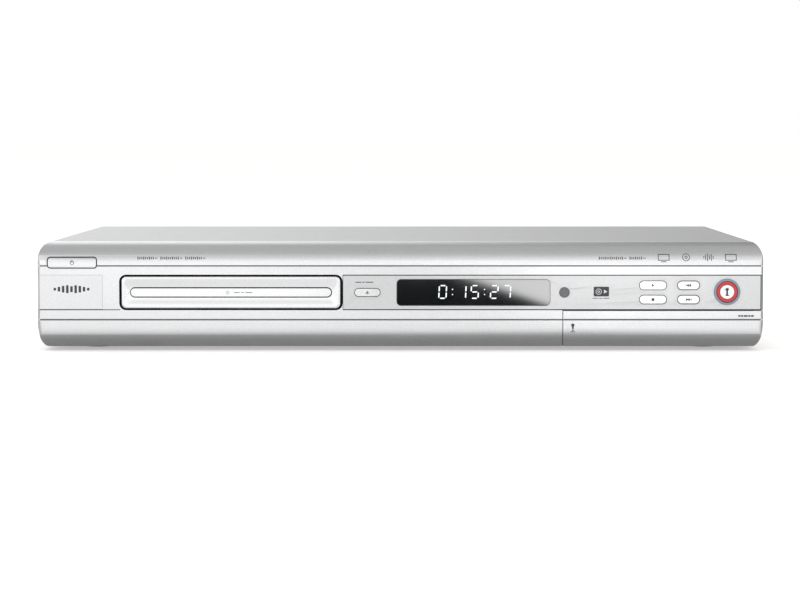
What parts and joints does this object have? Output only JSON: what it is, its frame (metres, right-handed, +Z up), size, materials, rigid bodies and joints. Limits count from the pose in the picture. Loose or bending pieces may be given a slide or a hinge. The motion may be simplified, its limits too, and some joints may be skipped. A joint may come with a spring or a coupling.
{
  "type": "disc recorder",
  "caption": "Slim silver home disc recorder: sliding disc tray, dark display window, push buttons, a hinged socket flap on the front and sockets on the back.",
  "frame": {"origin": "on the table plane, under the middle of the whole object's width and depth", "axes": "+X to the right of someone facing the front, +Y towards the back, +Z up"},
  "size_m": [0.435, 0.295, 0.065],
  "materials": {
    "front_bezel": "satin silver paint on moulded plastic",
    "badge_plate": "brushed silver",
    "control_panel": "satin silver",
    "display_window": "glossy dark window",
    "ir_lens": "dark glossy filter",
    "record_collar": "blue-grey gloss",
    "socket_plate": "black",
    "phono_sleeves": "bright plate",
    "phono_inserts": "socket mouldings in signal colours",
    "dv_socket": "dark",
    "s_video_sockets": "dark",
    "front_av_board": "green laminate",
    "front_board": "green laminate",
    "display_tube": "glass tube",
    "key_switches": "black",
    "drive_frame": "dark grey",
    "drive_top_plate": "galvanised",
    "loading_motor": "plated",
    "loading_belt": "black rubber",
    "chassis_base": "galvanised",
    "top_cover": "satin silver paint",
    "rear_panel": "galvanised",
    "feet": "dark",
    "screws": "plated",
    "fan_frame": "black",
    "power_board": "tan laminate",
    "power_transformer": "ferrite core with yellow tape",
    "power_capacitors": "printed sleeves",
    "mains_inlet": "black",
    "main_board": "green laminate",
    "main_heatsink": "fins",
    "av_board": "green laminate",
    "tuner": "tinned can",
    "scart_sockets": "black",
    "ribbon_cables": "grey flat cable",
    "disc_tray": "dark grey",
    "tray_door": "satin silver",
    "tray_door_bar": "bright silver",
    "tray_gear": "white acetal",
    "pulley_gear": "white acetal",
    "motor_pulley": "white",
    "cam_slider": "white acetal",
    "traverse_frame": "dark",
    "guide_rods": "ground steel",
    "spindle_motor": "plated",
    "sled_motor": "plated",
    "pickup": "dark",
    "lead_screw": "steel",
    "turntable": "dark with a friction ring",
    "clamper": "white",
    "fan_impeller": "black",
    "flap_door": "satin silver paint on moulded plastic",
    "standby_button": "silver",
    "open_close_button": "silver",
    "play_button": "silver",
    "stop_button": "silver",
    "back_button": "silver",
    "next_button": "silver",
    "record_button": "bright silver",
    "record_ring": "red translucent gloss"
  },
  "bodies": {
    "case": {"front_bezel": "front_bezel", "badge_plate": "badge_plate", "control_panel": "control_panel", "display_window": "display_window", "ir_lens": "ir_lens", "record_collar": "record_collar", "socket_plate": "socket_plate", "phono_sleeves": "phono_sleeves", "phono_inserts": "phono_inserts", "dv_socket": "dv_socket", "s_video_sockets": "s_video_sockets", "front_av_board": "front_av_board", "front_board": "front_board", "display_tube": "display_tube", "key_switches": "key_switches", "drive_frame": "drive_frame", "drive_top_plate": "drive_top_plate", "loading_motor": "loading_motor", "loading_belt": "loading_belt", "chassis_base": "chassis_base", "top_cover": "top_cover", "rear_panel": "rear_panel", "feet": "feet", "screws": "screws", "fan_frame": "fan_frame", "power_board": "power_board", "power_transformer": "power_transformer", "power_capacitors": "power_capacitors", "mains_inlet": "mains_inlet", "main_board": "main_board", "main_heatsink": "main_heatsink", "av_board": "av_board", "tuner": "tuner", "scart_sockets": "scart_sockets", "ribbon_cables": "ribbon_cables"},
    "tray": {"disc_tray": "disc_tray", "tray_door": "tray_door", "tray_door_bar": "tray_door_bar"},
    "tray_gear_wheel": {"tray_gear": "tray_gear"},
    "pulley_wheel": {"pulley_gear": "pulley_gear"},
    "motor_wheel": {"motor_pulley": "motor_pulley"},
    "slider": {"cam_slider": "cam_slider"},
    "traverse": {"traverse_frame": "traverse_frame", "guide_rods": "guide_rods", "spindle_motor": "spindle_motor", "sled_motor": "sled_motor"},
    "sled": {"pickup": "pickup"},
    "feed_screw": {"lead_screw": "lead_screw"},
    "spindle": {"turntable": "turntable"},
    "clamp": {"clamper": "clamper"},
    "impeller": {"fan_impeller": "fan_impeller"},
    "flap": {"flap_door": "flap_door"},
    "standby_key": {"standby_button": "standby_button"},
    "open_close_key": {"open_close_button": "open_close_button"},
    "play_key": {"play_button": "play_button"},
    "stop_key": {"stop_button": "stop_button"},
    "back_key": {"back_button": "back_button"},
    "next_key": {"next_button": "next_button"},
    "record_key": {"record_button": "record_button", "record_ring": "record_ring"}
  },
  "joints": [
    {"name": "tray_slide", "type": "slide", "parent": "case", "child": "tray", "axis": [0, -1, 0], "range_m": [0, 0.14]},
    {"name": "tray_gear_spin", "type": "hinge", "parent": "case", "child": "tray_gear_wheel", "pos_m": [-0.1435, -0.112, 0.028], "axis": [0, 0, 1], "range_deg": [0, 669]},
    {"name": "pulley_gear_spin", "type": "hinge", "parent": "case", "child": "pulley_wheel", "pos_m": [-0.1312, -0.1243, 0.026], "axis": [0, 0, 1], "range_deg": [-1486, 0]},
    {"name": "motor_pulley_spin", "type": "hinge", "parent": "case", "child": "motor_wheel", "pos_m": [-0.104, -0.126, 0.0245], "axis": [0, 0, 1], "range_deg": [-5348, 0]},
    {"name": "traverse_tilt", "type": "hinge", "parent": "case", "child": "traverse", "pos_m": [-0.1015, 0.0045, 0.0255], "axis": [1, 0, 0], "range_deg": [0, 5.6]},
    {"name": "cam_slide", "type": "slide", "parent": "case", "child": "slider", "axis": [1, 0, 0], "range_m": [0, 0.016]},
    {"name": "pickup_slide", "type": "slide", "parent": "traverse", "child": "sled", "axis": [0, 1, 0], "range_m": [0, 0.034]},
    {"name": "lead_screw_spin", "type": "hinge", "parent": "traverse", "child": "feed_screw", "pos_m": [-0.0695, -0.0475, 0.0286], "axis": [0, 1, 0], "range_deg": [0, 4081]},
    {"name": "spindle_spin", "type": "hinge", "parent": "traverse", "child": "spindle", "pos_m": [-0.1015, -0.0775, 0.03], "axis": [0, 0, 1], "continuous": true},
    {"name": "clamper_spin", "type": "hinge", "parent": "case", "child": "clamp", "pos_m": [-0.1015, -0.0775, 0.044], "axis": [0, 0, 1], "continuous": true},
    {"name": "fan_spin", "type": "hinge", "parent": "case", "child": "impeller", "pos_m": [-0.1075, 0.1325, 0.0355], "axis": [0, 1, 0], "continuous": true},
    {"name": "flap_hinge", "type": "hinge", "parent": "case", "child": "flap", "pos_m": [0.1575, -0.141, 0.008], "axis": [1, 0, 0], "range_deg": [0, 85]},
    {"name": "standby_press", "type": "slide", "parent": "case", "child": "standby_key", "axis": [0, 1, 0], "range_m": [0, 0.0008], "stiffness_N_per_m": 600, "springref_m": -0.0008},
    {"name": "open_close_press", "type": "slide", "parent": "case", "child": "open_close_key", "axis": [0, 1, 0], "range_m": [0, 0.0008], "stiffness_N_per_m": 600, "springref_m": -0.0008},
    {"name": "play_press", "type": "slide", "parent": "case", "child": "play_key", "axis": [0, 1, 0], "range_m": [0, 0.0008], "stiffness_N_per_m": 600, "springref_m": -0.0008},
    {"name": "stop_press", "type": "slide", "parent": "case", "child": "stop_key", "axis": [0, 1, 0], "range_m": [0, 0.0008], "stiffness_N_per_m": 600, "springref_m": -0.0008},
    {"name": "back_press", "type": "slide", "parent": "case", "child": "back_key", "axis": [0, 1, 0], "range_m": [0, 0.0008], "stiffness_N_per_m": 600, "springref_m": -0.0008},
    {"name": "next_press", "type": "slide", "parent": "case", "child": "next_key", "axis": [0, 1, 0], "range_m": [0, 0.0008], "stiffness_N_per_m": 600, "springref_m": -0.0008},
    {"name": "record_press", "type": "slide", "parent": "case", "child": "record_key", "axis": [0, 1, 0], "range_m": [0, 0.0008], "stiffness_N_per_m": 600, "springref_m": -0.0008}
  ],
  "couplings": [
    {"joint": "tray_gear_spin", "follows": "tray_slide", "rad_per_m": 83.333},
    {"joint": "pulley_gear_spin", "follows": "tray_slide", "rad_per_m": -185.19},
    {"joint": "motor_pulley_spin", "follows": "tray_slide", "rad_per_m": -666.67},
    {"joint": "cam_slide", "follows": "traverse_tilt", "m_per_rad": 0.1637},
    {"joint": "lead_screw_spin", "follows": "pickup_slide", "rad_per_m": 2094.4},
    {"joint": "clamper_spin", "follows": "spindle_spin", "ratio": 1}
  ]
}
